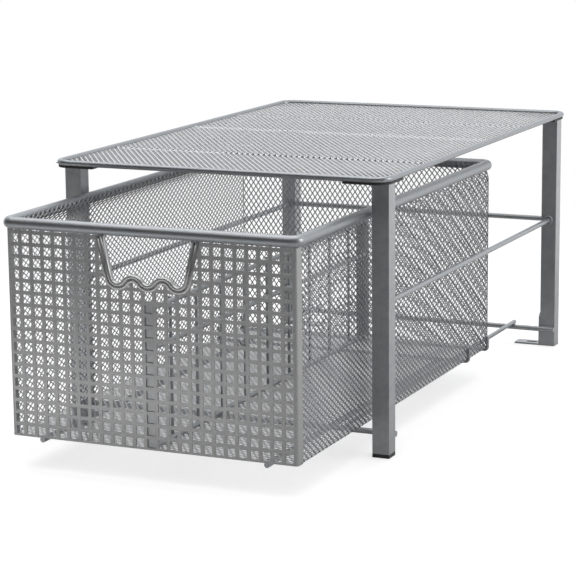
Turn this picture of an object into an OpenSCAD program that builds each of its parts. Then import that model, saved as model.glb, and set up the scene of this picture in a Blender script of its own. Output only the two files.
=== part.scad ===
// Pull-out cabinet basket: a raised mesh shelf on four tube legs, and a mesh basket that
// slides forwards between the legs on two rails.
// X runs to the right, Y to the back and Z up, in millimetres. The origin is on the floor,
// under the middle of the whole thing as it stands with its basket part pulled out.

/* [Shelf] */
// Overall width over the shelf's rim
shelf_w = 289; // [250:1:340]
// Overall depth over the shelf's rim
shelf_d = 457; // [400:1:520]
// Height of the top of the rim above the floor
shelf_h = 221.5; // [200:0.5:280]
// Thickness of the rods of the shelf frame
rod_d = 4.6; // [4:0.1:5]
// Corner radius of the rim, at the middle of its rod
rim_corner_r = 12; // [8:1:20]
// Thickness of the expanded mesh sheets
mesh_t = 1; // [0.6:0.1:1.2]
// Height of the pressed stiffening creases across the shelf
crease_h = 1.2; // [0.5:0.1:1.8]
// Width of a stiffening crease
crease_w = 5; // [3:0.5:8]

/* [Mesh openings] */
// Greatest width of a cell in the sheets of mesh, which are drawn with few large diamonds
cell_w = 37; // [34:1:60]
// Greatest length of a cell
cell_l = 46; // [42:1:80]
// Width of the strands between the openings
strand_w = 6; // [3:0.5:9]
// Width of the plain edge round a field of openings
edge_w = 3; // [2:0.5:6]

/* [Legs] */
// Width of a leg tube, across the object
leg_w = 14; // [12:0.5:18]
// Depth of a leg tube, front to back
leg_t = 13; // [11:0.5:16]
// Wall of the leg tube
leg_wall = 1.2; // [0.8:0.1:1.6]
// Distance from the side of the rim in to the leg
leg_side_inset = 4.5; // [2:0.5:6]
// Distance from the front of the rim back to the front legs
front_overhang = 15; // [12:1:25]
// Distance from the back of the rim in to the rear legs
rear_overhang = 5; // [3:0.5:12]
// Side of the square corner plates under the rim
plate_side = 36; // [28:1:42]
// Thickness of the corner plates
plate_t = 1.6; // [1:0.1:2.5]
// Distance from the outside of the rim in to the edge of a corner plate
plate_inset = 1; // [0:0.5:3]
// Height of the plastic caps under the front legs
cap_h = 3; // [2:0.5:5]
// Length of the plugs that fill the ends of the leg tubes
plug_len = 9; // [6:1:14]
// Gap around a plug
plug_gap = 0.1; // [0.05:0.05:0.2]

/* [Rods and rails] */
// Height of the rods half way up the legs
mid_rod_z = 120.5; // [80:0.5:150]
// Height of the two cross rods near the floor
low_rod_z = 16.3; // [12:0.1:24]
// Distance from the legs in to each guide rail, at the middle of the rail
rail_inset = 26; // [16:1:27]
// Diameter of the guide rails
rail_d = 3.8; // [3.5:0.1:4.6]
// Length of rail that runs on past a cross rod
rail_tail = 4; // [2:1:8]
// Outside diameter of the rings at the ends of the side rods
collar_d = 8; // [7:0.5:9]
// Thickness of these rings
collar_t = 1.5; // [1:0.1:2.5]

/* [Rear brackets] */
// Reach of the foot plate from the leg towards the middle
bracket_reach = 25; // [22:1:27]
// Height of the upright plate beside the leg
bracket_h = 31; // [20:1:40]
// Thickness of the bracket
bracket_t = 1.5; // [1:0.1:2]
// Size of the cut corners at the top of the upright plate
bracket_chamfer = 3; // [1:0.5:5]
// Length of the screw slot
slot_len = 10.5; // [8:0.5:12]
// Width of the screw slot
slot_w = 4.5; // [3.5:0.1:5]
// Distance from the upright plate to the slot
slot_inset = 3; // [2:0.5:4]

/* [Basket] */
// Gap between the top of the basket's rim and the corner plates above it
top_gap = 20.9; // [10:0.1:40]
// Diameter of the basket's rim tube
basket_rim_d = 9; // [7:0.5:10]
// Corner radius of the basket's rim, at the middle of its tube
basket_corner_r = 5.5; // [5.5:0.5:15]
// Clearance between the basket's rim and the legs
side_gap = 2.5; // [1:0.5:3.5]
// How far the closed basket's front stands behind the shelf's front
front_setback = 10; // [4:1:14]
// Gap between the closed basket and the rear legs
back_gap = 3; // [2:0.5:6]
// How far the basket is pulled out as it stands
pull_out = 126; // [0:1:240]
// Thickness of the perforated front
panel_t = 1; // [0.8:0.1:1.5]
// Outside bend radius at the corners of the front
panel_bend_r = 2.5; // [2:0.5:2.5]
// Length of the front's flange along each side
flange_len = 6.5; // [4:0.5:15]
// How far the front reaches below the basket's floor
panel_drop = 0.5; // [0:0.1:1.5]
// Distance between the columns of square holes
hole_pitch_x = 9.4; // [9:0.1:12]
// Distance between the rows of square holes
hole_pitch_z = 9.3; // [9:0.1:12]
// Side of a square hole
hole_side = 6.5; // [5:0.1:6.8]
// Height of the middle of the lowest row of holes above the front's lower edge
first_row = 5; // [4.5:0.1:7]

/* [Handle cut-out] */
// Diameter of the wire round the cut-out
trim_d = 4.8; // [3:0.1:5]
// Depth of the cut-out below the rim, to the middle of the wire at its lowest points
cut_depth = 38.1; // [34:0.1:60]
// Height of the waves
wave_h = 6.5; // [4:0.1:7]
// Distance from one low point to the next
wave_pitch = 25; // [20:0.5:30]
// Slope of the cut-out's sides from level, in degrees
side_slope = 78; // [70:1:85]

/* [Divider] */
// Distance from the lowest points of the hand cut-out down to the top of the divider
divider_gap = 9.5; // [3:0.5:50]
// Distance from the divider's top rail down to its middle rail
divider_rail_gap = 30; // [10:1:60]
// Diameter of the divider's rails
divider_rail_d = 4; // [3:0.1:5]
// Diameter of the divider's upright wires
divider_wire_d = 2.6; // [2:0.1:3.5]
// Distance from one upright wire to the next
divider_pitch = 43.5; // [20:0.5:60]
// Least distance from the divider's ends to an upright wire
divider_end = 20; // [10:1:30]
// Width of the strips at the divider's ends
strip_w = 12; // [10:0.5:16]
// Size of the cut corners at the top of these strips
strip_chamfer = 4; // [1:0.5:4.5]

/* [Basket wires] */
// Diameter of the two wires that run front to back under the basket
slide_wire_d = 4.4; // [3.5:0.1:4.6]
// Distance from each of them to the guide rail beside it, from middle to middle
slide_wire_in = 6; // [4.5:0.5:40]
// Diameter of the two runner wires that ride on the rails
runner_d = 2.7; // [2.5:0.1:4]
// Height of the upturned ends of the runner wires
runner_end_h = 12; // [8:0.5:20]
// Bend radius of the runner wires, at the middle of the wire
runner_bend_r = 3; // [2:0.5:4]
// Distance from the basket's back to the rear runner wire
rear_runner_in = 8; // [8:1:14]
// Distance between the runner wires
runner_pitch = 50; // [30:1:80]
// Clearance between the runner wires and the rails
slide_gap = 0.3; // [0.1:0.1:0.6]

/* [Hidden] */
$fn = 48;

silver = [0.66, 0.67, 0.69];
black = [0.06, 0.06, 0.06];
// How far a cutting shape runs past a face
cut = 1;
// How far the flat of the front and its bends run into each other
seam = 0.3;
// Slack when points are compared with an edge
slack = 0.01;

// Shelf frame
shelf_front = -(shelf_d + front_setback - pull_out) / 2;
shelf_mid = shelf_front + shelf_d / 2;
rim_z = shelf_h - rod_d / 2;
plate_top = shelf_h - rod_d;
leg_top = plate_top - plate_t;
leg_x = shelf_w / 2 - leg_side_inset - leg_w / 2;
front_leg_y = shelf_front + front_overhang + leg_t / 2;
rear_leg_y = shelf_front + shelf_d - rear_overhang - leg_t / 2;
front_rod_y = front_leg_y + leg_t / 2 + rod_d / 2;
rear_rod_y = rear_leg_y - leg_t / 2 - rod_d / 2;
rail_x = leg_x - leg_w / 2 - rail_inset;
rail_z = low_rod_z + (rod_d + rail_d) / 2;
crease_at = [0.22, 0.54, 0.75];

// Basket
basket_w = 2 * (leg_x - leg_w / 2 - side_gap);
basket_d = rear_leg_y - leg_t / 2 - back_gap - shelf_front - front_setback;
basket_front = shelf_front + front_setback - pull_out;
basket_mid = basket_front + basket_d / 2;
basket_back = basket_front + basket_d;
runner_z = rail_z + rail_d / 2 + slide_gap + runner_d / 2;
basket_z = runner_z + runner_d / 2;
basket_rim_z = leg_top - top_gap - basket_rim_d / 2;
// The walls stand under the middle of the rim tube and meet it along its lowest line
wall_top = basket_rim_z - basket_rim_d / 2;
wall_x = (basket_w - basket_rim_d + mesh_t) / 2;
panel_y = basket_front + (basket_rim_d - panel_t) / 2;
back_y = basket_back - (basket_rim_d - mesh_t) / 2;
floor_top = basket_z + mesh_t;
flange_end = panel_y + panel_bend_r + flange_len;
panel_z = basket_z - panel_drop;

// Holes of the front
hole_cols = floor((wall_x - panel_bend_r - seam - hole_side / 2) / hole_pitch_x);
hole_rows = ceil((wall_top - panel_z - first_row + hole_side / 2) / hole_pitch_z);

// Wave of the cut-out: bends of one radius that meet half way up
wave_angle = 2 * atan(2 * wave_h / wave_pitch);
wave_r = wave_pitch / 4 / sin(wave_angle);
low_bend_z = wall_top - cut_depth + wave_r;
high_bend_z = wall_top - cut_depth + wave_h - wave_r;
side_foot = [
    wave_pitch + wave_r * sin(side_slope),
    low_bend_z - wave_r * cos(side_slope)
];
side_len = (wall_top - trim_d / 2 * cos(side_slope) - side_foot[1]) / sin(side_slope);

// Divider
divider_top = wall_top - cut_depth - trim_d / 2 - divider_gap;
top_rail_z = divider_top - divider_rail_d / 2;
divider_front = panel_y + 2 * panel_t;
divider_back = back_y - mesh_t - panel_t;
divider_wires_n = 1 + floor((divider_back - divider_front - 2 * divider_end) / divider_pitch);
rail_dx = (divider_rail_d + divider_wire_d) / 2;

slide_wire_x = rail_x - slide_wire_in;
slide_wire_z = basket_z - slide_wire_d / 2;
rear_runner_y = basket_back - rear_runner_in;
front_runner_y = rear_runner_y - runner_pitch;

// A rod from one side to the other
module rod_x(len, d) {
    rotate([0, 90, 0]) cylinder(h = len, d = d, center = true);
}

// A rod from a start to an end along Y
module rod_y(start, end, d) {
    translate([0, start, 0]) rotate([-90, 0, 0]) cylinder(h = end - start, d = d);
}

// A quarter bend in the XY plane, from +X round to +Y
module bend(r, d, angle = 90) {
    rotate_extrude(angle = angle) translate([r, 0]) circle(d = d);
}

// A closed loop of round rod with rounded corners, w and d at the middle of the rod
module rod_loop(w, d, r, rod) {
    for (s = [-1, 1]) {
        translate([0, s * d / 2, 0]) rod_x(w - 2 * r, rod);
        translate([s * w / 2, 0, 0]) rod_y(r - d / 2, d / 2 - r, rod);
    }
    for (corner = [[1, 1, 0], [-1, 1, 90], [-1, -1, 180], [1, -1, 270]])
        translate([corner[0] * (w / 2 - r), corner[1] * (d / 2 - r), 0])
            rotate([0, 0, corner[2]]) bend(r, rod);
}

module rounded_rect(w, d, r) {
    square([w - 2 * r, d], center = true);
    square([w, d - 2 * r], center = true);
    for (sx = [-1, 1], sy = [-1, 1])
        translate([sx * (w / 2 - r), sy * (d / 2 - r)]) circle(r);
}

// Diamond openings over a field w by l round the origin, with half ones along its edges
module openings(w, l) {
    cells = [ceil(w / cell_w), ceil(l / cell_l)];
    pitch = [w / cells.x, l / cells.y];
    half = pitch / 2 * (1 - strand_w * norm(pitch) / pitch.x / pitch.y);
    for (shift = [0, 0.5], col = [0 : cells.x - 2 * shift], row = [0 : cells.y - 2 * shift]) {
        centre = [(col + shift) * pitch.x - w / 2, (row + shift) * pitch.y - l / 2];
        corners = [
            for (turn = [0 : 90 : 270])
                let (p = centre + [cos(turn) * half.x, sin(turn) * half.y])
                if (abs(p.x) < w / 2 + slack && abs(p.y) < l / 2 + slack) p
        ];
        if (len(corners) > 2) polygon(corners);
    }
}

// A sheet of mesh w by l, flat and centred on the origin
module mesh_sheet(w, l) {
    linear_extrude(mesh_t, center = true) difference() {
        square([w, l], center = true);
        openings(w - 2 * edge_w, l - 2 * edge_w);
    }
}

// Shelf

module shelf_rim() {
    color(silver) translate([0, shelf_mid, rim_z])
        rod_loop(shelf_w - rod_d, shelf_d - rod_d, rim_corner_r, rod_d);
}

// A sheet that meets the rim all round, with a field of openings on each side of every crease,
// and the creases that stiffen it
module shelf_mesh() {
    strip = crease_w / 2 + edge_w;
    starts = concat([rod_d + edge_w], [for (at = crease_at) at * shelf_d + strip]);
    ends = concat([for (at = crease_at) at * shelf_d - strip], [shelf_d - rod_d - edge_w]);
    color(silver) {
        translate([0, shelf_mid, rim_z - mesh_t / 2]) linear_extrude(mesh_t) difference() {
            rounded_rect(shelf_w - 2 * rod_d, shelf_d - 2 * rod_d, rim_corner_r - rod_d / 2);
            for (i = [0 : len(starts) - 1])
                translate([0, (starts[i] + ends[i] - shelf_d) / 2])
                    openings(shelf_w - 2 * (rod_d + edge_w), ends[i] - starts[i]);
        }
        for (at = crease_at)
            translate([0, shelf_front + at * shelf_d, rim_z + mesh_t / 2]) rotate([90, 0, 90])
                linear_extrude(shelf_w - 4 * rod_d, center = true)
                    polygon([[-crease_w / 2, 0], [crease_w / 2, 0], [0, crease_h]]);
    }
}

// A plate under a corner of the rim, with a plug that fills the top of the leg.
// side is -1 on the left, end is -1 at the front.
module corner_plate(side, end, leg_y) {
    outer_x = shelf_w / 2 - plate_inset;
    outer_y = shelf_d / 2 - plate_inset;
    color(black) {
        translate([0, shelf_mid, leg_top]) linear_extrude(plate_t) intersection() {
            rounded_rect(2 * outer_x, 2 * outer_y, rim_corner_r + rod_d / 2 - plate_inset);
            translate([side * (outer_x - plate_side / 2), end * (outer_y - plate_side / 2)])
                square(plate_side, center = true);
        }
        translate([side * leg_x, leg_y, leg_top - plug_len]) plug();
    }
}

module plug() {
    translate([0, 0, plug_len / 2])
        cube([
            leg_w - 2 * (leg_wall + plug_gap),
            leg_t - 2 * (leg_wall + plug_gap),
            plug_len
        ], center = true);
}

module front_left_corner_plate() { corner_plate(-1, -1, front_leg_y); }
module front_right_corner_plate() { corner_plate(1, -1, front_leg_y); }
module rear_left_corner_plate() { corner_plate(-1, 1, rear_leg_y); }
module rear_right_corner_plate() { corner_plate(1, 1, rear_leg_y); }

// Legs

module leg(side, y, foot) {
    color(silver) translate([side * leg_x, y, foot]) linear_extrude(leg_top - foot) difference() {
        square([leg_w, leg_t], center = true);
        square([leg_w - 2 * leg_wall, leg_t - 2 * leg_wall], center = true);
    }
}

module front_left_leg() { leg(-1, front_leg_y, cap_h); }
module front_right_leg() { leg(1, front_leg_y, cap_h); }
module rear_left_leg() { leg(-1, rear_leg_y, bracket_t); }
module rear_right_leg() { leg(1, rear_leg_y, bracket_t); }

module leg_cap(side) {
    color(black) translate([side * leg_x, front_leg_y, 0]) {
        translate([0, 0, cap_h / 2]) cube([leg_w, leg_t, cap_h], center = true);
        translate([0, 0, cap_h]) plug();
    }
}

module front_left_cap() { leg_cap(-1); }
module front_right_cap() { leg_cap(1); }

// An angle bracket: a foot plate under the leg with a screw slot, and an upright beside it
module rear_bracket(side) {
    inner_x = leg_x - leg_w / 2;
    plate_len = leg_w + bracket_reach;
    slot_x = inner_x - bracket_t - slot_inset - slot_len / 2;
    color(silver) mirror([side < 0 ? 1 : 0, 0, 0]) {
        difference() {
            translate([inner_x - bracket_reach, rear_leg_y - leg_t / 2, 0])
                cube([plate_len, leg_t, bracket_t]);
            translate([slot_x, rear_leg_y, -cut]) linear_extrude(bracket_t + 2 * cut) {
                square([slot_len - slot_w, slot_w], center = true);
                for (s = [-1, 1]) translate([s * (slot_len - slot_w) / 2, 0]) circle(d = slot_w);
            }
        }
        translate([inner_x - bracket_t, rear_leg_y, 0]) rotate([90, 0, 90])
            linear_extrude(bracket_t)
                polygon([
                    [-leg_t / 2, bracket_t], [leg_t / 2, bracket_t],
                    [leg_t / 2, bracket_h - bracket_chamfer], [leg_t / 2 - bracket_chamfer, bracket_h],
                    [bracket_chamfer - leg_t / 2, bracket_h], [-leg_t / 2, bracket_h - bracket_chamfer]
                ]);
    }
}

module rear_left_bracket() { rear_bracket(-1); }
module rear_right_bracket() { rear_bracket(1); }

// Rods and rails

module rear_mid_rod() {
    color(silver) translate([0, rear_leg_y, mid_rod_z]) rod_x(2 * leg_x - leg_w, rod_d);
}

module side_rod(side) {
    color(silver) translate([side * leg_x, 0, mid_rod_z])
        rod_y(front_leg_y + leg_t / 2, rear_leg_y - leg_t / 2, rod_d);
}

module left_side_rod() { side_rod(-1); }
module right_side_rod() { side_rod(1); }

module side_rod_rings() {
    starts = [front_leg_y + leg_t / 2, rear_leg_y - leg_t / 2 - collar_t];
    color(silver) for (side = [-1, 1], start = starts)
        translate([side * leg_x, start, mid_rod_z]) rotate([-90, 0, 0]) linear_extrude(collar_t)
            difference() {
                circle(d = collar_d);
                circle(d = rod_d);
            }
}

module front_cross_rod() {
    color(silver) translate([0, front_rod_y, low_rod_z]) rod_x(2 * leg_x + leg_w, rod_d);
}

module rear_cross_rod() {
    color(silver) translate([0, rear_rod_y, low_rod_z]) rod_x(2 * leg_x + leg_w, rod_d);
}

module guide_rail(side) {
    color(silver) translate([side * rail_x, 0, rail_z])
        rod_y(front_rod_y - rail_tail, rear_rod_y + rail_tail, rail_d);
}

module left_guide_rail() { guide_rail(-1); }
module right_guide_rail() { guide_rail(1); }

// Basket

module basket_rim() {
    color(silver) translate([0, basket_mid, basket_rim_z])
        rod_loop(basket_w - basket_rim_d, basket_d - basket_rim_d, basket_corner_r, basket_rim_d);
}

// The middle of the wire round the cut-out, from its left top to its right top, as pairs of a
// point in XZ and the direction that faces out of the cut-out there
function arc(centre, r, from, to, side) = [
    for (i = [0 : 8]) let (a = from + (to - from) * i / 8, out = [cos(a), sin(a)])
        [centre + r * out, side * out]
];

function trim_path(len) =
    let (top = side_foot + len * [cos(side_slope), sin(side_slope)])
    concat(
        [[[-top[0], top[1]], [-sin(side_slope), -cos(side_slope)]]],
        arc([-wave_pitch, low_bend_z], wave_r, 270 - side_slope, 270 + wave_angle, 1),
        arc([-wave_pitch / 2, high_bend_z], wave_r, 90 + wave_angle, 90 - wave_angle, -1),
        arc([0, low_bend_z], wave_r, 270 - wave_angle, 270 + wave_angle, 1),
        arc([wave_pitch / 2, high_bend_z], wave_r, 90 + wave_angle, 90 - wave_angle, -1),
        arc([wave_pitch, low_bend_z], wave_r, 270 - wave_angle, 270 + side_slope, 1),
        [[top, [sin(side_slope), -cos(side_slope)]]]
    );

// The wire swept along that line
module handle_trim() {
    path = trim_path(side_len);
    sides = 12;
    last = sides * (len(path) - 1);
    color(silver) translate([0, panel_y + panel_t / 2, 0]) polyhedron(
        points = [
            for (p = path, k = [0 : sides - 1])
                let (u = trim_d / 2 * cos(360 * k / sides), v = trim_d / 2 * sin(360 * k / sides))
                [p[0][0] + u * p[1][0], v, p[0][1] + u * p[1][1]]
        ],
        faces = concat(
            [[for (k = [0 : sides - 1]) k]],
            [[for (k = [sides - 1 : -1 : 0]) last + k]],
            [
                for (ring = [0 : sides : last - sides], k = [0 : sides - 1])
                    let (next = (k + 1) % sides)
                    [ring + k, ring + sides + k, ring + sides + next, ring + next]
            ]
        )
    );
}

module panel_face() {
    flat_x = wall_x - panel_bend_r;
    difference() {
        translate([-flat_x, panel_z]) square([2 * flat_x, wall_top - panel_z]);
        for (col = [-hole_cols : hole_cols], row = [0 : hole_rows - 1])
            translate([col * hole_pitch_x, panel_z + first_row + row * hole_pitch_z])
                square(hole_side, center = true);
        polygon([for (p = trim_path(side_len + basket_rim_d)) p[0] + trim_d / 2 * p[1]]);
    }
}

// The perforated front, bent back round both corners
module front_panel() {
    height = wall_top - panel_z;
    color(silver) {
        translate([0, panel_y + panel_t, 0]) rotate([90, 0, 0]) linear_extrude(panel_t) panel_face();
        for (side = [-1, 1]) mirror([side < 0 ? 1 : 0, 0, 0])
            translate([wall_x - panel_bend_r, panel_y + panel_bend_r, panel_z]) {
                translate([-seam, -panel_bend_r, 0]) cube([seam, panel_t, height]);
                rotate([0, 0, -90]) rotate_extrude(angle = 90)
                    translate([panel_bend_r - panel_t, 0]) square([panel_t, height]);
                translate([panel_bend_r - panel_t, 0, 0]) cube([panel_t, flange_len, height]);
            }
    }
}

// The mesh walls and floor, with their true outside size
module side_wall(side) {
    color(silver)
        translate([side * (wall_x - mesh_t / 2), (flange_end + back_y) / 2, (floor_top + wall_top) / 2])
            rotate([90, 0, 90]) mesh_sheet(back_y - flange_end, wall_top - floor_top);
}

module left_wall() { side_wall(-1); }
module right_wall() { side_wall(1); }

module back_wall() {
    color(silver) translate([0, back_y - mesh_t / 2, (floor_top + wall_top) / 2])
        rotate([90, 0, 0]) mesh_sheet(2 * (wall_x - mesh_t), wall_top - floor_top);
}

// Narrower between the bends of the front, and plain under the divider
module basket_floor() {
    front = panel_y + panel_t;
    flat_x = wall_x - panel_bend_r;
    inner = strip_w / 2;
    outer = flat_x - edge_w;
    color(silver) translate([0, 0, basket_z]) linear_extrude(mesh_t) difference() {
        union() {
            translate([-flat_x, front]) square([2 * flat_x, back_y - front]);
            translate([-wall_x, flange_end]) square([2 * wall_x, back_y - flange_end]);
        }
        for (side = [-1, 1]) translate([side * (inner + outer) / 2, (front + back_y) / 2])
            openings(outer - inner, back_y - front - 2 * edge_w);
    }
}

// The divider down the middle of the basket

module divider_strip(y) {
    color(silver) translate([0, y, 0]) rotate([90, 0, 0]) linear_extrude(panel_t)
        polygon([
            [-strip_w / 2, floor_top], [strip_w / 2, floor_top],
            [strip_w / 2, divider_top - strip_chamfer], [strip_w / 2 - strip_chamfer, divider_top],
            [strip_chamfer - strip_w / 2, divider_top], [-strip_w / 2, divider_top - strip_chamfer]
        ]);
}

module divider_front_strip() { divider_strip(divider_front); }
module divider_back_strip() { divider_strip(divider_back + panel_t); }

module divider_rails() {
    color(silver) for (z = [floor_top + divider_rail_d / 2, top_rail_z - divider_rail_gap, top_rail_z])
        translate([rail_dx, 0, z]) rod_y(divider_front, divider_back, divider_rail_d);
}

module divider_wires() {
    first = (divider_front + divider_back - (divider_wires_n - 1) * divider_pitch) / 2;
    color(silver) for (i = [0 : divider_wires_n - 1])
        translate([0, first + i * divider_pitch, floor_top])
            cylinder(h = divider_top - floor_top, d = divider_wire_d);
}

// Wires under the basket

module slide_wire(side) {
    color(silver) translate([side * slide_wire_x, 0, slide_wire_z])
        rod_y(panel_y + panel_t, front_runner_y - runner_d / 2, slide_wire_d);
}

module left_slide_wire() { slide_wire(-1); }
module right_slide_wire() { slide_wire(1); }

// A wire across the bottom with both ends turned up outside the walls
module runner_wire(y) {
    end_x = wall_x + runner_d / 2;
    color(silver) translate([0, y, runner_z]) {
        rod_x(2 * (end_x - runner_bend_r), runner_d);
        for (side = [-1, 1]) mirror([side < 0 ? 1 : 0, 0, 0])
            translate([end_x - runner_bend_r, 0, runner_bend_r]) {
                rotate([90, 0, 0]) rotate([0, 0, -90]) bend(runner_bend_r, runner_d);
                translate([runner_bend_r, 0, 0])
                    cylinder(h = runner_end_h - runner_bend_r, d = runner_d);
            }
    }
}

module rear_runner_wire() { runner_wire(rear_runner_y); }
module front_runner_wire() { runner_wire(front_runner_y); }

shelf_rim();
shelf_mesh();
front_left_corner_plate();
front_right_corner_plate();
rear_left_corner_plate();
rear_right_corner_plate();
front_left_leg();
front_right_leg();
rear_left_leg();
rear_right_leg();
front_left_cap();
front_right_cap();
rear_left_bracket();
rear_right_bracket();
rear_mid_rod();
left_side_rod();
right_side_rod();
side_rod_rings();
front_cross_rod();
rear_cross_rod();
left_guide_rail();
right_guide_rail();
basket_rim();
front_panel();
handle_trim();
left_wall();
right_wall();
back_wall();
basket_floor();
divider_front_strip();
divider_back_strip();
divider_rails();
divider_wires();
left_slide_wire();
right_slide_wire();
rear_runner_wire();
front_runner_wire();
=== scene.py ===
import math

import bmesh
import bpy
from mathutils import Matrix, Vector


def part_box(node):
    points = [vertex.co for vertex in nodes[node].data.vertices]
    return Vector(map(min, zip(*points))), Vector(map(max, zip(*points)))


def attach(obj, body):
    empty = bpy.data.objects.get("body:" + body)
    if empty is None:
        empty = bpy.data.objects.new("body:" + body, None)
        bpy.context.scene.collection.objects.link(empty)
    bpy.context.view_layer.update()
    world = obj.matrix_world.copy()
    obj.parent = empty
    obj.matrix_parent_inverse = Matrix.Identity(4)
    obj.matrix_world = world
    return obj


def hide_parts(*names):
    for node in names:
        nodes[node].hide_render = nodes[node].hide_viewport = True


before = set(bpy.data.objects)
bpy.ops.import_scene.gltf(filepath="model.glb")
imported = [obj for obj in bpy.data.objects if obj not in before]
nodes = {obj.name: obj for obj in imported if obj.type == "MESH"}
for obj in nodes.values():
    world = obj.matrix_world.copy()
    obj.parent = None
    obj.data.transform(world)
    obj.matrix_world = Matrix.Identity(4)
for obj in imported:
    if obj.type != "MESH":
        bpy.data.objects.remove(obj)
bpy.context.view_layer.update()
scene = bpy.context.scene

# lengths are in metres, but for rimWrap and handleTrim, which are in millimetres as the part has them

camera = {
    "position": (0.74794, -1.69651, 0.46486),
    "target": (0.00691, -0.0469, 0.10502),
    "lens": 138.53,  # millimetres, like the sensor
    "sensor": 36,
    "roll": -0.556,  # degrees
    "farthest": 60,
}


def placeCamera():
    data = bpy.data.cameras.new("camera")
    data.sensor_width = camera["sensor"]
    data.lens = camera["lens"]
    data.clip_end = camera["farthest"]
    obj = bpy.data.objects.new("camera", data)
    scene.collection.objects.link(obj)
    position = Vector(camera["position"])
    look = (Vector(camera["target"]) - position).to_track_quat("-Z", "Y")
    turn = Matrix.Rotation(math.radians(camera["roll"]), 4, "Z")
    obj.matrix_world = Matrix.Translation(position) @ look.to_matrix().to_4x4() @ turn
    scene.camera = obj


placeCamera()
print("camera placed")


def newGroup(name, inputs, outputs):
    group = bpy.data.node_groups.new(name, "ShaderNodeTree")
    for label, kind, value in inputs:
        socket = group.interface.new_socket(label, in_out="INPUT", socket_type=kind)
        if value is not None:
            socket.default_value = value
    for label, kind in outputs:
        group.interface.new_socket(label, in_out="OUTPUT", socket_type=kind)
    start = group.nodes.new("NodeGroupInput")
    end = group.nodes.new("NodeGroupOutput")
    start.location = (-900, 0)
    end.location = (600, 0)
    return group, start, end


def addNode(tree, kind, x=0, y=0, **values):
    node = tree.nodes.new(kind)
    node.location = (x, y)
    for key, value in values.items():
        if key in node.inputs:
            node.inputs[key].default_value = value
        else:
            setattr(node, key, value)
    return node


def placeGroup(tree, group, x, y, **values):
    node = tree.nodes.new("ShaderNodeGroup")
    node.node_tree = group
    node.location = (x, y)
    for key, value in values.items():
        node.inputs[key].default_value = value
    return node


def mathNode(tree, operation, a, b, x=0, y=0, clamp=False):
    node = addNode(tree, "ShaderNodeMath", x, y, operation=operation, use_clamp=clamp)
    for index, value in enumerate((a, b)):
        if hasattr(value, "is_output"):
            tree.links.new(value, node.inputs[index])
        elif value is not None:
            node.inputs[index].default_value = value
    return node.outputs[0]


def rampNode(tree, source, stops, x=0, y=0):
    node = addNode(tree, "ShaderNodeValToRGB", x, y)
    ramp = node.color_ramp
    while len(ramp.elements) < len(stops):
        ramp.elements.new(0.5)
    for element, (place, shade) in zip(ramp.elements, stops):
        element.position = place
        element.color = (shade, shade, shade, 1)
    tree.links.new(source, node.inputs[0])
    return node.outputs[0]


def softStep(tree, source, edge, x, y):
    node = addNode(tree, "ShaderNodeMapRange", x, y, interpolation_type="SMOOTHSTEP")
    node.inputs["From Min"].default_value, node.inputs["From Max"].default_value = edge
    tree.links.new(source, node.inputs["Value"])
    return node


def makePowderGrain():
    group, start, end = newGroup(
        "powderGrain",
        [("Fleck Scale", "NodeSocketFloat", 900.0), ("Ripple Scale", "NodeSocketFloat", 260.0)],
        [("Fleck", "NodeSocketFloat"), ("Height", "NodeSocketFloat")],
    )
    place = addNode(group, "ShaderNodeTexCoord", -900, 200)
    fleck = addNode(group, "ShaderNodeTexNoise", -600, 200, Detail=2.0, Roughness=0.7)
    ripple = addNode(group, "ShaderNodeTexNoise", -600, -100, Detail=3.0, Roughness=0.55)
    group.links.new(place.outputs["Object"], fleck.inputs["Vector"])
    group.links.new(place.outputs["Object"], ripple.inputs["Vector"])
    group.links.new(start.outputs["Fleck Scale"], fleck.inputs["Scale"])
    group.links.new(start.outputs["Ripple Scale"], ripple.inputs["Scale"])
    flecks = rampNode(group, fleck.outputs["Fac"], [(0.35, 0.0), (0.7, 1.0)], -350, 200)
    group.links.new(flecks, end.inputs["Fleck"])
    height = mathNode(group, "MULTIPLY_ADD", ripple.outputs["Fac"], 0.8, -100, -100)
    group.links.new(fleck.outputs["Fac"], height.node.inputs[2])
    group.links.new(height, end.inputs["Height"])
    return group


def makeHandling():
    group, start, end = newGroup(
        "handlingMarks",
        [("Scale", "NodeSocketFloat", 18.0), ("Amount", "NodeSocketFloat", 0.5)],
        [("Mask", "NodeSocketFloat")],
    )
    place = addNode(group, "ShaderNodeTexCoord", -900, 200)
    cloud = addNode(group, "ShaderNodeTexNoise", -600, 200, Detail=5.0, Roughness=0.6, Distortion=0.4)
    group.links.new(place.outputs["Object"], cloud.inputs["Vector"])
    group.links.new(start.outputs["Scale"], cloud.inputs["Scale"])
    patch = rampNode(group, cloud.outputs["Fac"], [(0.42, 0.0), (0.68, 1.0)], -350, 200)
    mask = mathNode(group, "MULTIPLY", patch, None, 100, 100)
    group.links.new(start.outputs["Amount"], mask.node.inputs[1])
    group.links.new(mask, end.inputs["Mask"])
    return group


flatPointiness = 0.52  # edges that stick out have more than this


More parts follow.
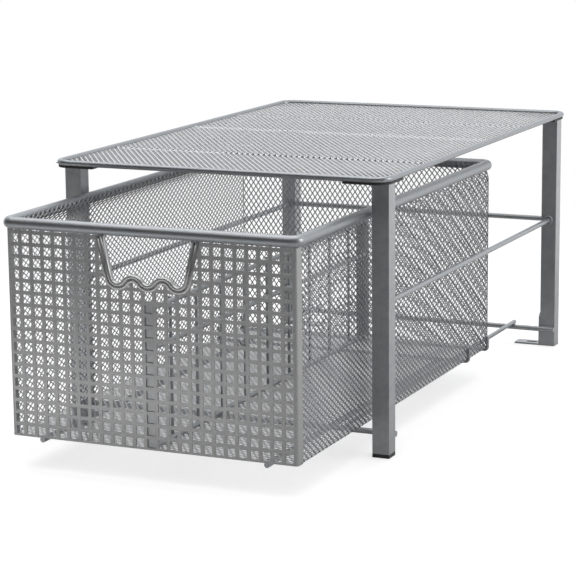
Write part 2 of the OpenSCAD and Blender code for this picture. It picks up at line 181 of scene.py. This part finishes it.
def makeEdgeWear():
    group, start, end = newGroup(
        "edgeWear",
        [("Sharpness", "NodeSocketFloat", 9.0), ("Amount", "NodeSocketFloat", 0.5)],
        [("Mask", "NodeSocketFloat")],
    )
    shape = addNode(group, "ShaderNodeNewGeometry", -900, 200)
    place = addNode(group, "ShaderNodeTexCoord", -900, -150)
    breakup = addNode(group, "ShaderNodeTexNoise", -650, -150, Scale=140.0, Detail=3.0)
    group.links.new(place.outputs["Object"], breakup.inputs["Vector"])
    convex = mathNode(group, "SUBTRACT", shape.outputs["Pointiness"], flatPointiness, -650, 200)
    sharp = mathNode(group, "MULTIPLY", convex, None, -400, 200, clamp=True)
    group.links.new(start.outputs["Sharpness"], sharp.node.inputs[1])
    broken = mathNode(group, "MULTIPLY", sharp, breakup.outputs["Fac"], -150, 100)
    mask = mathNode(group, "MULTIPLY", broken, None, 100, 100, clamp=True)
    group.links.new(start.outputs["Amount"], mask.node.inputs[1])
    group.links.new(mask, end.inputs["Mask"])
    return group


powderGrain = makePowderGrain()
handlingMarks = makeHandling()
edgeWear = makeEdgeWear()


def mixColour(tree, mask, low, high, x, y):
    node = addNode(tree, "ShaderNodeMix", x, y, data_type="RGBA")
    tree.links.new(mask, node.inputs["Factor"])
    for index, value in ((6, low), (7, high)):
        if hasattr(value, "is_output"):
            tree.links.new(value, node.inputs[index])
        else:
            node.inputs[index].default_value = (*value, 1)
    return node.outputs[2]


def powderCoat(name, look):
    material = bpy.data.materials.new(name)
    material.use_nodes = True
    tree = material.node_tree
    shader = tree.nodes["Principled BSDF"]
    shader.location = (500, 0)
    tree.nodes["Material Output"].location = (800, 0)
    scales = {"Fleck Scale": look["fleckScale"], "Ripple Scale": look["rippleScale"]}
    grain = placeGroup(tree, powderGrain, -600, 200, **scales)
    marks = placeGroup(tree, handlingMarks, -600, -50, Scale=look["markScale"], Amount=look["marks"])
    wear = placeGroup(tree, edgeWear, -600, -250, Amount=look["wear"])
    base = mixColour(tree, grain.outputs["Fleck"], look["dark"], look["light"], -300, 250)
    handled = mixColour(tree, marks.outputs["Mask"], base, look["marked"], -50, 200)
    worn = mixColour(tree, wear.outputs["Mask"], handled, look["worn"], 200, 200)
    tree.links.new(worn, shader.inputs["Base Color"])
    rough = mathNode(tree, "MULTIPLY_ADD", marks.outputs["Mask"], look["markRough"], 200, -50)
    rough.node.inputs[2].default_value = look["rough"]
    tree.links.new(rough, shader.inputs["Roughness"])
    shader.inputs["Metallic"].default_value = look["metallic"]
    shader.inputs["Specular IOR Level"].default_value = look["specular"]
    shader.inputs["Coat Weight"].default_value = look["lacquer"]
    shader.inputs["Coat Roughness"].default_value = look["lacquerRough"]
    bump = addNode(tree, "ShaderNodeBump", 200, -300, Strength=look["bump"], Distance=0.0002)
    tree.links.new(grain.outputs["Height"], bump.inputs["Height"])
    tree.links.new(bump.outputs["Normal"], shader.inputs["Normal"])
    return material


# silver powder coat: fine bright flecks in a grey lacquer, rubbed smoother where hands go; the blue cast of
# its dark and light is a painted reflection of the bluish backdrop
silverLook = {
    "dark": (0.242, 0.255, 0.27),
    "light": (0.374, 0.391, 0.411),
    "marked": (0.3, 0.303, 0.306),
    "worn": (0.58, 0.58, 0.58),
    "fleckScale": 1400.0,
    "rippleScale": 420.0,
    "markScale": 16.0,
    "marks": 0.35,
    "markRough": 0.08,
    "wear": 0.5,
    "rough": 0.4,
    "metallic": 0.75,
    "specular": 0.5,
    "lacquer": 0.7,
    "lacquerRough": 0.26,
    "bump": 0.16,
}
# the wall strands: a slightly darker copy of the silver powder coat, painted shade
meshShadedLook = {
    **silverLook,
    "dark": (0.22, 0.225, 0.235),
    "light": (0.36, 0.367, 0.378),
    "fleckScale": 1100.0,
    "marks": 0.25,
    "rough": 0.34,
    "lacquerRough": 0.28,
    "wear": 0.0,
}
# the shelf: a much lighter copy of the silver powder coat, painted light where the lamp above falls on its
# top
shelfLitLook = {
    **meshShadedLook,
    "metallic": 0.45,
    "dark": (0.57, 0.575, 0.58),
    "light": (0.74, 0.745, 0.75),
    "marked": (0.62, 0.623, 0.626),
}
# the basket's floor: a lighter copy of the silver powder coat, painted light that falls in through the open
# top
basketFloorLitLook = {
    **meshShadedLook,
    "dark": (0.38, 0.387, 0.4),
    "light": (0.53, 0.54, 0.555),
    "marked": (0.44, 0.446, 0.455),
}
# the front panel: a lighter, warmer copy of the silver powder coat; its lightness is painted light and its
# warm tint a painted reflection of a warm room
panelLitWarmLook = {
    **silverLook,
    "dark": (0.31, 0.308, 0.305),
    "light": (0.435, 0.433, 0.43),
    "marked": (0.365, 0.365, 0.365),
    "marks": 0.45,
    "markScale": 22.0,
    "bump": 0.2,
    "wear": 0.0,
}
# the trim round the opening: a much lighter copy of the silver powder coat, painted light and highlight on
# its bead
trimLitLook = {
    **silverLook,
    "dark": (0.46, 0.458, 0.455),
    "light": (0.6, 0.598, 0.595),
    "marked": (0.5, 0.5, 0.498),
    "rough": 0.27,
    "metallic": 0.6,
    "lacquerRough": 0.14,
}
weldLook = {**silverLook, "rippleScale": 900.0, "bump": 0.5, "rough": 0.42, "marks": 0.6}
blackLook = {
    "dark": (0.02, 0.02, 0.021),
    "light": (0.035, 0.035, 0.036),
    "marked": (0.045, 0.045, 0.046),
    "worn": (0.07, 0.07, 0.07),
    "fleckScale": 2200.0,
    "rippleScale": 1300.0,
    "markScale": 30.0,
    "marks": 0.4,
    "markRough": 0.1,
    "wear": 0.6,
    "rough": 0.5,
    "metallic": 0.0,
    "specular": 0.4,
    "lacquer": 0.0,
    "lacquerRough": 0.3,
    "bump": 0.35,
}

silverCoat = powderCoat("silverPowderCoat", silverLook)
meshShadedCoat = powderCoat("meshShadedPowderCoat", meshShadedLook)
shelfLitCoat = powderCoat("shelfLitPowderCoat", shelfLitLook)
basketFloorLitCoat = powderCoat("basketFloorLitPowderCoat", basketFloorLitLook)
trimLitCoat = powderCoat("trimLitPowderCoat", trimLitLook)
panelLitWarmCoat = powderCoat("panelLitWarmPowderCoat", panelLitWarmLook)
weldCoat = powderCoat("weldedPowderCoat", weldLook)
blackPlastic = powderCoat("blackPlastic", blackLook)


def dressCadNodes():
    blackNodes = ("corner_plate", "cap")
    for name, obj in nodes.items():
        if name == "front_panel":
            material = panelLitWarmCoat
        else:
            material = blackPlastic if name.endswith(blackNodes) else silverCoat
        for slot in obj.material_slots:
            slot.link = "OBJECT"
            slot.material = material
        if not obj.material_slots:
            obj.data.materials.append(material)


dressCadNodes()
print("materials made")


diamondMesh = {
    "short": 0.0049,  # across a diamond
    "long": 0.00705,  # along a diamond
    "strand": 0.00074,  # width of a strand
    "thick": 0.0006,  # thickness of a strand
    "tilt": -0.00022,  # how far a strand's edges stand out of the sheet
    "slack": 1e-6,  # a point that is past the edge by less than this lies on it
    "merge": 2e-6,  # points nearer to each other than this are one
}


def addPiece(name, verts, faces, material, body, smooth=False):
    mesh = bpy.data.meshes.new(name)
    mesh.from_pydata(verts, [], faces)
    mesh.update()
    mesh.materials.append(material)
    if smooth:
        mesh.shade_smooth()
    obj = bpy.data.objects.new(name, mesh)
    scene.collection.objects.link(obj)
    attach(obj, body)
    return obj


def bridgeRings(faces, here, there, count):
    for k in range(count):
        n = (k + 1) % count
        faces.append((here + k, here + n, there + n, there + k))


def diamondSheet(name, width, height, toFrame, body, cell=diamondMesh, coat=meshShadedCoat, rise=None):
    across = max(2, round(width / cell["short"]))
    along = max(2, round(height / cell["long"]))
    halfShort, halfLong = width / across / 2, height / along / 2
    reach = halfShort * halfLong / math.hypot(halfShort, halfLong)
    inner = 1 - cell["strand"] / 2 / reach
    slack = cell["slack"]
    corners = ((1, 0), (0, 1), (-1, 0), (0, -1))
    verts, faces = [], []
    for row in range(2 * along + 1):
        v = row * halfLong
        for column in range(across + 1):
            u = 2 * halfShort * column + (halfShort if row % 2 else 0)
            if u > width + slack:
                continue
            start = len(verts)
            outside = []
            for scale, lift in ((1, 0), (inner, cell["tilt"])):
                for a, b in corners:
                    pu, pv = u + a * scale * halfShort, v + b * scale * halfLong
                    beside = (pu < -slack) - (pu > width + slack)
                    beyond = (pv < -slack) - (pv > height + slack)
                    outside.append((beside, beyond))
                    pu, pv = min(max(pu, 0), width), min(max(pv, 0), height)
                    up = rise(pv) if rise else 0
                    for side in (0.5, -0.5):
                        verts.append(toFrame(pu, pv, up + lift * a + side * cell["thick"]))
            # points of one corner: 2k in front, 2k + 1 behind; inner corners follow the outer ones
            for k in range(4):
                n = (k + 1) % 4
                o1, o2, i1, i2 = start + 2 * k, start + 2 * n, start + 8 + 2 * k, start + 8 + 2 * n
                if any(
                    outside[k][axis] == outside[n][axis] == outside[4 + k][axis] != 0
                    or outside[k][axis] == outside[n][axis] == outside[4 + n][axis] != 0
                    for axis in (0, 1)
                ):
                    continue
                faces.append((o1, o2, i2, i1))
                faces.append((o1 + 1, i1 + 1, i2 + 1, o2 + 1))
                faces.append((i1, i2, i2 + 1, i1 + 1))
    obj = addPiece(name, verts, faces, coat, body)
    joinPoints(obj, cell)
    return obj


def joinPoints(obj, cell):
    work = bmesh.new()
    work.from_mesh(obj.data)
    bmesh.ops.remove_doubles(work, verts=work.verts, dist=cell["merge"])
    bmesh.ops.dissolve_degenerate(work, edges=work.edges, dist=cell["slack"])
    work.to_mesh(obj.data)
    work.free()


shelf = {
    "creases": (0.22, 0.54, 0.75),  # along the depth of the shelf
    "creaseRise": 0.0013,
    "creaseHalf": 0.0022,
    # wider strands than the basket's walls, and flatter
    "mesh": {**diamondMesh, "strand": 0.0011, "thick": 0.0005, "tilt": -0.00004},
    "edgeIn": 0.0015,  # how far the sheet's edge lies under the rim
    "above": 0.0002,  # the strands' middle over the lower face of the CAD sheet
}


def makeShelf():
    low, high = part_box("shelf_mesh")
    rimLow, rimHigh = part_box("shelf_rim")
    middle = low.z + shelf["above"]
    depth = rimHigh.y - rimLow.y
    x0, y0 = low.x - shelf["edgeIn"], low.y - shelf["edgeIn"]
    width, height = high.x - low.x + 2 * shelf["edgeIn"], high.y - low.y + 2 * shelf["edgeIn"]
    lines = [rimLow.y + at * depth - y0 for at in shelf["creases"]]

    def rise(v):
        near = min(abs(v - line) for line in lines)
        return shelf["creaseRise"] * max(0.0, 1 - near / shelf["creaseHalf"])

    obj = diamondSheet(
        "shelfMesh", width, height, lambda u, v, w: (x0 + u, y0 + v, middle + w), "frame",
        shelf["mesh"], shelfLitCoat, rise,
    )
    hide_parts("shelf_mesh")


# the walls' upper edge leans in and lies round the inner side of the rim: inwards, height (mm)
rimWrap = (
    (0.0, 177.0), (0.5, 181.0), (2.0, 183.9), (3.9, 186.2), (4.85, 188.2), (5.1, 189.9), (4.9, 191.2),
    (4.5, 192.3),
)


def wrapLength(low):
    curved = sum(math.dist(a, b) for a, b in zip(rimWrap, rimWrap[1:]))
    return (rimWrap[0][1] + curved) / 1000 - low


def wrapPoint(low, up, out):
    left = (low + up) * 1000 - rimWrap[0][1]
    if left <= 0:
        return -out, low + up
    for a, b in zip(rimWrap, rimWrap[1:]):
        step = math.dist(a, b)
        if left <= step or b == rimWrap[-1]:
            break
        left -= step
    alongIn, alongUp = (b[0] - a[0]) / step, (b[1] - a[1]) / step
    inward, height = a[0] + alongIn * left, a[1] + alongUp * left
    return inward / 1000 - out * alongUp, height / 1000 + out * alongIn


def makeBasketMesh():
    for name, node, outward in (("leftWallMesh", "left_wall", -1), ("rightWallMesh", "right_wall", 1)):
        low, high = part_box(node)
        x = (low.x + high.x) / 2

        def toWall(u, v, w, x=x, low=low, side=outward):
            inward, z = wrapPoint(low.z, u, w)
            return x - side * inward, low.y + v, z

        # the floor's sheet folds up into the sides, so their diamonds lie along the basket too
        obj = diamondSheet(name, wrapLength(low.z), high.y - low.y, toWall, "basket")
        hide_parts(node)
    low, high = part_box("back_wall")
    y = (low.y + high.y) / 2

    def toBack(u, v, w):
        inward, z = wrapPoint(low.z, v, w)
        return low.x + u, y - inward, z

    obj = diamondSheet("backWallMesh", high.x - low.x, wrapLength(low.z), toBack, "basket")
    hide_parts("back_wall")
    floorLow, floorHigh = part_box("basket_floor")
    z = (floorLow.z + floorHigh.z) / 2
    obj = diamondSheet(
        "basketFloorMesh", floorHigh.x - floorLow.x, floorHigh.y - floorLow.y,
        lambda u, v, w: (floorLow.x + u, floorLow.y + v, z + w), "basket", shelf["mesh"], basketFloorLitCoat,
    )
    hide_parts("basket_floor")


makeShelf()
makeBasketMesh()
print("mesh sheets made")


# line of the trim round the hand opening, in millimetres as the part has it
handleTrim = {
    "wavePitch": 25.0,
    "waveHeight": 6.5,
    "waveLow": 148.2,  # middle of the trim at the lowest points
    "sideSlope": 78.0,
    "sideTop": 187.0,  # the ends run into the rim
    "faceY": -282.0,
    "arcSteps": 14,
    "shortest": 0.02,  # points nearer to each other than this are one
    # section of the pressed strip: away from the opening, then towards the front
    "section": (
        (3.4, 0.5), (3.4, 1.1), (3.1, 1.5), (2.2, 1.75), (1.0, 1.7), (0.78, 1.2), (0.6, 0.7),
        (0.45, 1.2), (0.33, 1.86), (-0.15, 2.3), (-0.9, 2.5), (-1.65, 2.3), (-2.2, 1.75), (-2.4, 1.0),
        (-2.4, -2.2), (-2.2, -2.4), (-1.5, -2.4), (-1.3, -2.2), (-1.2, -0.6), (2.3, -0.6), (2.6, -0.3),
        (3.3, 0.0),
    ),
}


def trimLine():
    look = handleTrim
    pitch, slope = look["wavePitch"], math.radians(look["sideSlope"])
    turn = 2 * math.atan(2 * look["waveHeight"] / pitch)
    radius = pitch / 4 / math.sin(turn)
    lowZ, highZ = look["waveLow"] + radius, look["waveLow"] + look["waveHeight"] - radius
    down = 1.5 * math.pi
    points = []

    def arc(x, z, start, end, side):
        steps = look["arcSteps"]
        for i in range(steps + 1):
            a = start + (end - start) * i / steps
            outX, outZ = math.cos(a), math.sin(a)
            points.append((x + radius * outX, z + radius * outZ, side * outX, side * outZ))

    footX, footZ = pitch + radius * math.sin(slope), lowZ - radius * math.cos(slope)
    topX = footX + (look["sideTop"] - footZ) / math.tan(slope)
    points.append((-topX, look["sideTop"], -math.sin(slope), -math.cos(slope)))
    arc(-pitch, lowZ, down - slope, down + turn, 1)
    arc(-pitch / 2, highZ, math.pi / 2 + turn, math.pi / 2 - turn, -1)
    arc(0, lowZ, down - turn, down + turn, 1)
    arc(pitch / 2, highZ, math.pi / 2 + turn, math.pi / 2 - turn, -1)
    arc(pitch, lowZ, down - turn, down + slope, 1)
    points.append((topX, look["sideTop"], math.sin(slope), -math.cos(slope)))
    kept = [points[0]]
    for point in points[1:]:
        if math.dist(point[:2], kept[-1][:2]) > look["shortest"]:
            kept.append(point)
    return kept


def makeHandleTrim():
    line, section = trimLine(), handleTrim["section"]
    verts = [
        ((x + out * nx) / 1000, (handleTrim["faceY"] - front) / 1000, (z + out * nz) / 1000)
        for x, z, nx, nz in line
        for out, front in section
    ]
    count = len(section)
    faces = [tuple(range(count))[::-1], tuple(range(len(verts) - count, len(verts)))]
    for ring in range(len(line) - 1):
        bridgeRings(faces, ring * count, (ring + 1) * count, count)
    obj = addPiece("handleTrimStrip", verts, faces, trimLitCoat, "basket", smooth=True)
    work = bmesh.new()
    work.from_mesh(obj.data)
    bmesh.ops.recalc_face_normals(work, faces=work.faces)
    work.to_mesh(obj.data)
    work.free()
    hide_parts("handle_trim")


makeHandleTrim()
print("handle trim made")

weldBead = {
    "sides": 10,
    "steps": 16,
    "lump": 0.16,  # how uneven a bead is
    # shift: how far the lumps move on from bead to bead, for each metre between the beads
    # rings round a rod's end: radius of the ring and of its bead, and its distance from the end
    "rearRing": {"ring": 0.0024, "bead": 0.0009, "away": 0.0004, "shift": 90},
    "sideRing": {"ring": 0.0033, "bead": 0.0011, "away": 0.0008, "shift": 60},
    # straight runs: radius of the bead, and its place beside or over the joint
    "legRun": {"bead": 0.0008, "beside": 0.0019, "away": 0.0006, "short": 0.0015},
    "railRun": {"bead": 0.0007, "beside": 0.0013, "half": 0.0016},
    "runnerRun": {"bead": 0.0006, "beside": 0.001, "low": 0.0068, "high": 0.0012, "shift": 40},
    "slideRun": {"bead": 0.0006, "beside": 0.0013, "half": 0.003, "sunk": 0.0001, "shift": 30},
    "slideEnds": (0.0042, 0.006),
    "trimRun": {"bead": 0.0007, "half": 0.0022, "front": 0.0018, "height": 0.1857},
}


def beadRing(verts, faces, centre, axis, ringRadius, beadRadius, turn=0.0):
    axis = Vector(axis).normalized()
    across = axis.orthogonal().normalized()
    other = axis.cross(across)
    sides, steps, start = weldBead["sides"], weldBead["steps"], len(verts)
    for i in range(steps):
        a = 2 * math.pi * i / steps
        out = across * math.cos(a) + other * math.sin(a)
        lump = math.sin(3 * a + turn) + 0.5 * math.sin(7 * a + 2 * turn)
        fat = beadRadius * (1 + weldBead["lump"] * lump)
        for k in range(sides):
            b = 2 * math.pi * k / sides
            verts.append(Vector(centre) + out * (ringRadius + fat * math.cos(b)) + axis * fat * math.sin(b))
    for i in range(steps):
        bridgeRings(faces, start + i * sides, start + (i + 1) % steps * sides, sides)


def beadRun(verts, faces, first, last, beadRadius, turn=0.0):
    first, last = Vector(first), Vector(last)
    axis = (last - first).normalized()
    across = axis.orthogonal().normalized()
    other = axis.cross(across)
    sides, steps, start = weldBead["sides"], weldBead["steps"], len(verts)
    for i in range(steps + 1):
        t = i / steps
        taper = math.sqrt(max(0.0, 1 - (2 * t - 1) ** 4)) * 0.9 + 0.1
        lump = math.sin(9 * t + turn) + 0.5 * math.sin(23 * t + turn)
        fat = beadRadius * taper * (1 + weldBead["lump"] * lump)
        for k in range(sides):
            b = 2 * math.pi * k / sides
            verts.append(first.lerp(last, t) + (across * math.cos(b) + other * math.sin(b)) * fat)
    for i in range(steps):
        bridgeRings(faces, start + i * sides, start + (i + 1) * sides, sides)
    faces.append(tuple(range(start, start + sides))[::-1])
    faces.append(tuple(range(start + steps * sides, start + (steps + 1) * sides)))


def rodRings(verts, faces):
    rear, side = weldBead["rearRing"], weldBead["sideRing"]
    low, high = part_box("rear_mid_rod")
    middle = (low + high) / 2
    for x, step in ((low.x, 1), (high.x, -1)):
        centre = (x + step * rear["away"], middle.y, middle.z)
        beadRing(verts, faces, centre, (1, 0, 0), rear["ring"], rear["bead"], x * rear["shift"])
    for hand in ("left", "right"):
        low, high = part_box(f"{hand}_side_rod")
        middle = (low + high) / 2
        for y, step in ((low.y, 1), (high.y, -1)):
            centre = (middle.x, y + step * side["away"], middle.z)
            turn = middle.x * side["shift"] + y
            beadRing(verts, faces, centre, (0, 1, 0), side["ring"], side["bead"], turn)


def crossRodRuns(verts, faces):
    leg, rail = weldBead["legRun"], weldBead["railRun"]
    for end, facing in (("front", 1), ("rear", -1)):
        low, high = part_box(f"{end}_cross_rod")
        middle = (low + high) / 2
        for hand, side in (("left", -1), ("right", 1)):
            legLow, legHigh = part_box(f"{end}_{hand}_leg")
            y = (legHigh.y if end == "front" else legLow.y) + facing * leg["away"]
            for up in (-1, 1):
                z = middle.z + up * leg["beside"]
                first, last = (legLow.x + leg["short"], y, z), (legHigh.x - leg["short"], y, z)
                beadRun(verts, faces, first, last, leg["bead"], side + up)
            railLow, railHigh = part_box(f"{hand}_guide_rail")
            for step in (-1, 1):
                x = (railLow.x + railHigh.x) / 2 + step * rail["beside"]
                first, last = (x, middle.y - rail["half"], high.z), (x, middle.y + rail["half"], high.z)
                beadRun(verts, faces, first, last, rail["bead"], side + step)


def runnerRuns(verts, faces):
    run = weldBead["runnerRun"]
    for name in ("rear_runner_wire", "front_runner_wire"):
        low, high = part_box(name)
        for hand in ("left", "right"):
            wallLow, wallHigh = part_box(f"{hand}_wall")
            x = wallLow.x if hand == "left" else wallHigh.x
            middleY = (low.y + high.y) / 2
            for step in (-1, 1):
                y = middleY + step * run["beside"]
                first, last = (x, y, high.z - run["low"]), (x, y, high.z - run["high"])
                beadRun(verts, faces, first, last, run["bead"], step + middleY * run["shift"])


def slideWireRuns(verts, faces):
    run = weldBead["slideRun"]
    front, rear = weldBead["slideEnds"]
    for hand in ("left", "right"):
        low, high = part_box(f"{hand}_slide_wire")
        z = high.z - run["sunk"]
        for y in (low.y + front, (low.y + high.y) / 2, high.y - rear):
            for step in (-1, 1):
                x = (low.x + high.x) / 2 + step * run["beside"]
                first, last = (x, y - run["half"], z), (x, y + run["half"], z)
                beadRun(verts, faces, first, last, run["bead"], step + y * run["shift"])


def trimEndRuns(verts, faces):
    run = weldBead["trimRun"]
    line = trimLine()
    y = handleTrim["faceY"] / 1000 - run["front"]
    for end in (line[0][0], line[-1][0]):
        x, z = end / 1000, run["height"]
        beadRun(verts, faces, (x - run["half"], y, z), (x + run["half"], y, z), run["bead"], end)


def makeWelds(name, body, makers):
    verts, faces = [], []
    for maker in makers:
        maker(verts, faces)
    obj = addPiece(name, verts, faces, weldCoat, body, smooth=True)


makeWelds("frameWelds", "frame", (rodRings, crossRodRuns))
makeWelds("basketWelds", "basket", (runnerRuns, slideWireRuns, trimEndRuns))
print("welds made")

light = {
    "backdrop": (0.94, 0.97, 1.0),  # white paper behind the object
    "roomLow": 0.02,  # the room in front of it, near the horizon
    "roomHigh": 0.14,  # and higher up
    "roomRise": (0.1, 0.75),  # from where to where it rises, as a part of the way up
    "backdropEdge": (-0.2, 0.45),  # from where to where the room turns into the backdrop
    "fill": 0.4,  # how much of the backdrop and room lights matt surfaces
    "top": {"power": 11.0, "size": 1.4, "position": (-0.1, -0.12, 1.15), "aim": (0, -0.1, 0.1)},
    "right": {"power": 13.5, "size": 1.1, "position": (1.8, 0.35, 0.8), "aim": (0, 0, 0.1)},
    # a strip of bright paper lying just in front of the basket
    "paper": {
        "power": 0.13,
        "size": 0.36,
        "depth": 0.14,
        "position": (-0.16, -0.42, 0.004),
        "aim": (-0.12, -0.2, 0.44),
    },
    "floorSize": 16.0,
    "floorDrop": 0.0002,
    "floorColour": 0.86,
    "floorGlow": 0.94,  # the camera's floor: its glow, and the colour that takes the shadow
    "floorSeen": 0.3,
    "floorFade": (0.45, 1.1),  # how far away the floor turns into plain white
    "paperEdge": (-0.1, 0.4),  # from where to where behind the object metal sees white paper
    "contactShadowReach": 0.07,  # how far the painted contact shadow, a soft dark edge, reaches from what stands over the floor
    "contactShadowDepth": 0.38,
}


def addSoftbox(name, look):
    data = bpy.data.lights.new(name, "AREA")
    data.shape = "RECTANGLE"
    data.size = look["size"]
    data.size_y = look.get("depth", look["size"])
    data.energy = look["power"]
    obj = bpy.data.objects.new(name, data)
    obj.visible_camera = False
    scene.collection.objects.link(obj)
    position = Vector(look["position"])
    obj.location = position
    obj.rotation_euler = (Vector(look["aim"]) - position).to_track_quat("-Z", "Y").to_euler()


def mixShaders(tree, mask, first, second, x, y):
    node = addNode(tree, "ShaderNodeMixShader", x, y)
    for index, source in enumerate((mask, first, second)):
        tree.links.new(source, node.inputs[index])
    return node.outputs[0]


def shinyRays(tree, path, x, y):
    glossy, through = path.outputs["Is Glossy Ray"], path.outputs["Is Transmission Ray"]
    return mathNode(tree, "MAXIMUM", glossy, through, x, y)


def makeWorld():
    world = bpy.data.worlds.new("studio")
    world.use_nodes = True
    scene.world = world
    tree = world.node_tree
    tree.nodes.clear()
    out = addNode(tree, "ShaderNodeOutputWorld", 800, 0)
    place = addNode(tree, "ShaderNodeTexCoord", -900, 0)
    parts = addNode(tree, "ShaderNodeSeparateXYZ", -700, 0)
    tree.links.new(place.outputs["Generated"], parts.inputs[0])
    high = softStep(tree, parts.outputs["Z"], light["roomRise"], -450, -150)
    high.inputs["To Min"].default_value = light["roomLow"]
    high.inputs["To Max"].default_value = light["roomHigh"]
    behind = softStep(tree, parts.outputs["Y"], light["backdropEdge"], -450, 150)
    room = mixColour(tree, behind.outputs[0], (0, 0, 0), light["backdrop"], -150, 0)
    tree.links.new(high.outputs[0], room.node.inputs[6])
    studio = addNode(tree, "ShaderNodeBackground", 150, 0, Strength=1.0)
    tree.links.new(room, studio.inputs["Color"])
    fill = addNode(tree, "ShaderNodeBackground", 150, 100, Strength=light["fill"])
    tree.links.new(room, fill.inputs["Color"])
    seen = addNode(tree, "ShaderNodeBackground", 150, -200, Color=(1, 1, 1, 1), Strength=1.0)
    path = addNode(tree, "ShaderNodeLightPath", 150, 300)
    shiny = shinyRays(tree, path, 350, 350)
    lit = mixShaders(tree, shiny, fill.outputs[0], studio.outputs[0], 350, 50)
    surface = mixShaders(tree, path.outputs["Is Camera Ray"], lit, seen.outputs[0], 600, 0)
    tree.links.new(surface, out.inputs["Surface"])


def makeFloor():
    size = light["floorSize"]
    mesh = bpy.data.meshes.new("floor")
    corners = [(-size, -size, 0), (size, -size, 0), (size, size, 0), (-size, size, 0)]
    mesh.from_pydata(corners, [], [(0, 1, 2, 3)])
    obj = bpy.data.objects.new("floor", mesh)
    obj.location.z = -light["floorDrop"]
    scene.collection.objects.link(obj)
    material = bpy.data.materials.new("paleFloor")
    material.use_nodes = True
    tree = material.node_tree
    tree.nodes.clear()
    out = addNode(tree, "ShaderNodeOutputMaterial", 900, 0)
    shade, seenShade = light["floorColour"], light["floorSeen"]
    matt = addNode(tree, "ShaderNodeBsdfDiffuse", 0, 0, Color=(shade, shade, shade, 1))
    faint = addNode(tree, "ShaderNodeBsdfDiffuse", 0, 150, Color=(seenShade, seenShade, seenShade, 1))
    glow = addNode(tree, "ShaderNodeEmission", 0, -150)
    # painted contact shadow: ambient occlusion darkens the floor's glow under and beside the object
    reach = light["contactShadowReach"]
    contactShadowOcclusion = addNode(tree, "ShaderNodeAmbientOcclusion", -700, -250, samples=16, Distance=reach)
    shadowedGlow = mathNode(tree, "MULTIPLY_ADD", contactShadowOcclusion.outputs["AO"], light["contactShadowDepth"], -400, -250)
    shadowedGlow.node.inputs[2].default_value = light["floorGlow"] - light["contactShadowDepth"]
    tree.links.new(shadowedGlow, glow.inputs["Strength"])
    white = addNode(tree, "ShaderNodeEmission", 0, -300, Strength=1.0)
    near = addNode(tree, "ShaderNodeAddShader", 250, -100)
    tree.links.new(faint.outputs[0], near.inputs[0])
    tree.links.new(glow.outputs[0], near.inputs[1])
    place = addNode(tree, "ShaderNodeTexCoord", -700, 300)
    away = addNode(tree, "ShaderNodeVectorMath", -500, 300, operation="LENGTH")
    tree.links.new(place.outputs["Object"], away.inputs[0])
    fade = softStep(tree, away.outputs["Value"], light["floorFade"], -250, 300)
    seen = mixShaders(tree, fade.outputs[0], near.outputs[0], white.outputs[0], 450, -100)
    # metal sees the white paper too, but only behind the object: in front the room begins
    parts = addNode(tree, "ShaderNodeSeparateXYZ", -500, 500)
    tree.links.new(place.outputs["Object"], parts.inputs[0])
    behind = softStep(tree, parts.outputs["Y"], light["paperEdge"], -250, 550)
    path = addNode(tree, "ShaderNodeLightPath", -250, 850)
    paper = mathNode(tree, "MULTIPLY", behind.outputs[0], fade.outputs[0], 0, 550)
    mirrored = mathNode(tree, "MULTIPLY", paper, shinyRays(tree, path, 0, 800), 200, 600)
    bounced = mixShaders(tree, mirrored, matt.outputs[0], white.outputs[0], 450, 200)
    surface = mixShaders(tree, path.outputs["Is Camera Ray"], bounced, seen, 700, 0)
    tree.links.new(surface, out.inputs["Surface"])
    mesh.materials.append(material)


scene.view_settings.view_transform = "Standard"
makeWorld()
makeFloor()
addSoftbox("topSoftbox", light["top"])
addSoftbox("rightSoftbox", light["right"])
addSoftbox("frontPaper", light["paper"])
print("light and floor made")
